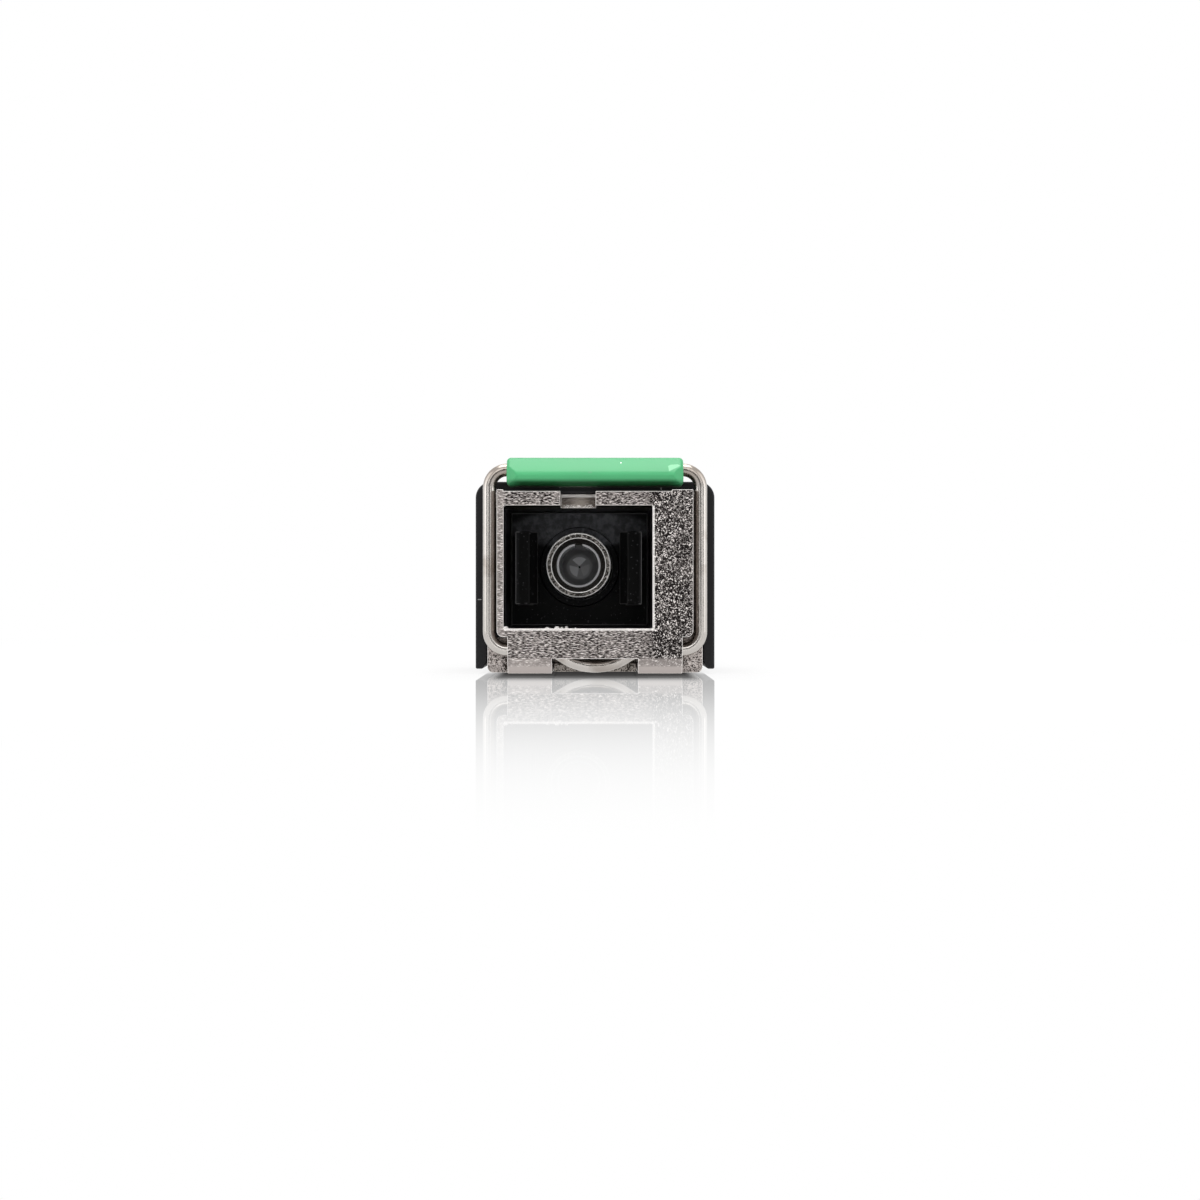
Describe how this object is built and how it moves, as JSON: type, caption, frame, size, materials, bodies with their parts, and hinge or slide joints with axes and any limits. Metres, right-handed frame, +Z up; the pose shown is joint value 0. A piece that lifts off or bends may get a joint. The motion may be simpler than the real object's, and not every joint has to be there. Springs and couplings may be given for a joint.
{
  "type": "pluggable optical network module",
  "caption": "Pluggable fibre module: a cast head with a square plug socket and a wire bail latch that drives a release slider, and a slim rear body with edge contacts.",
  "frame": {"origin": "middle of the module's length and width, at the level of the head's underside", "axes": "+Y from the fibre socket to the edge contacts, +Z up towards the bail's grip, +X to the right when looking into the socket"},
  "size_m": [0.015, 0.0676, 0.0133],
  "materials": {
    "zinc": "as-cast zinc alloy with satin nickel plate",
    "steel": "plain sheet steel",
    "wire": "satin nickel-plated wire",
    "spring_steel": "bright spring steel",
    "slider_metal": "rough cast zinc alloy",
    "cover_black": "matte black",
    "grip_green": "satin green",
    "socket_black": "glossy black",
    "turned_steel": "turned stainless steel",
    "zirconia": "polished zirconia",
    "can_gold": "gold flash",
    "flex_film": "amber film",
    "board_mask": "green solder mask",
    "chip_black": "moulded black",
    "can_silver": "plated can",
    "ferrite": "dark ferrite",
    "capacitor_tan": "tan ceramic",
    "pad_grey": "soft silicone pad"
  },
  "bodies": {
    "module": {"lower_housing": "zinc", "top_lid": "steel", "optic_clip": "steel", "emi_collar": "spring_steel", "slider_spring": "spring_steel", "head_cover": "cover_black", "sc_housing": "socket_black", "sc_hooks": "socket_black", "sleeve_holder": "turned_steel", "bosa_body": "turned_steel", "split_sleeve": "zirconia", "fiber_stub": "zirconia", "laser_can": "can_gold", "laser_leads": "can_gold", "receiver_can": "can_gold", "receiver_leads": "can_gold", "edge_contacts": "can_gold", "laser_flex": "flex_film", "receiver_flex": "flex_film", "circuit_board": "board_mask", "onu_processor": "chip_black", "flash_memory": "chip_black", "laser_driver": "chip_black", "power_converter": "chip_black", "oscillator_can": "can_silver", "power_inductors": "ferrite", "capacitors": "capacitor_tan", "thermal_pad": "pad_grey"},
    "bail": {"bail_wire": "wire", "bail_grip": "grip_green"},
    "slider": {"release_slider": "slider_metal"}
  },
  "joints": [
    {"name": "bail_swing", "type": "hinge", "parent": "module", "child": "bail", "pos_m": [0, -0.03255, 0.00145], "axis": [1, 0, 0], "range_deg": [0, 90]},
    {"name": "slider_travel", "type": "slide", "parent": "module", "child": "slider", "axis": [0, 1, 0], "range_m": [0, 0.0009], "deforming": ["slider_spring"]}
  ],
  "couplings": [
    {"joint": "bail_swing", "follows": "slider_travel", "rad_per_m": 1745}
  ]
}
